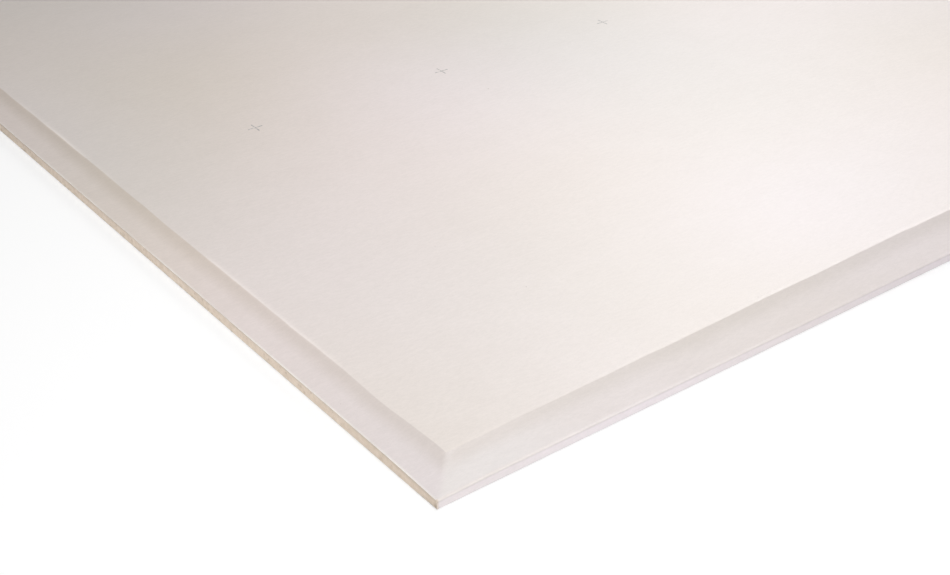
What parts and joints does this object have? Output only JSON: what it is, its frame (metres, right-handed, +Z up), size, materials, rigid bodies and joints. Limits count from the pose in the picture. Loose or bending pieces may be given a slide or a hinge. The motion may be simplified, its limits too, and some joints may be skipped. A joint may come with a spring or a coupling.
{
  "type": "drywall sheet",
  "caption": "Flat plasterboard sheet with a recessed taper along all four edges of its face, for lining walls and ceilings.",
  "frame": {"origin": "middle of the sheet's back, on the surface it lies on", "axes": "+X along the paper-wrapped long edges, +Y across the sheet, +Z up out of the face"},
  "size_m": [2.5, 1.25, 0.0125],
  "materials": {
    "board_paper": "matt, pale cream-grey liner paper"
  },
  "bodies": {
    "root": {"drywall_sheet": "board_paper"}
  },
  "joints": []
}
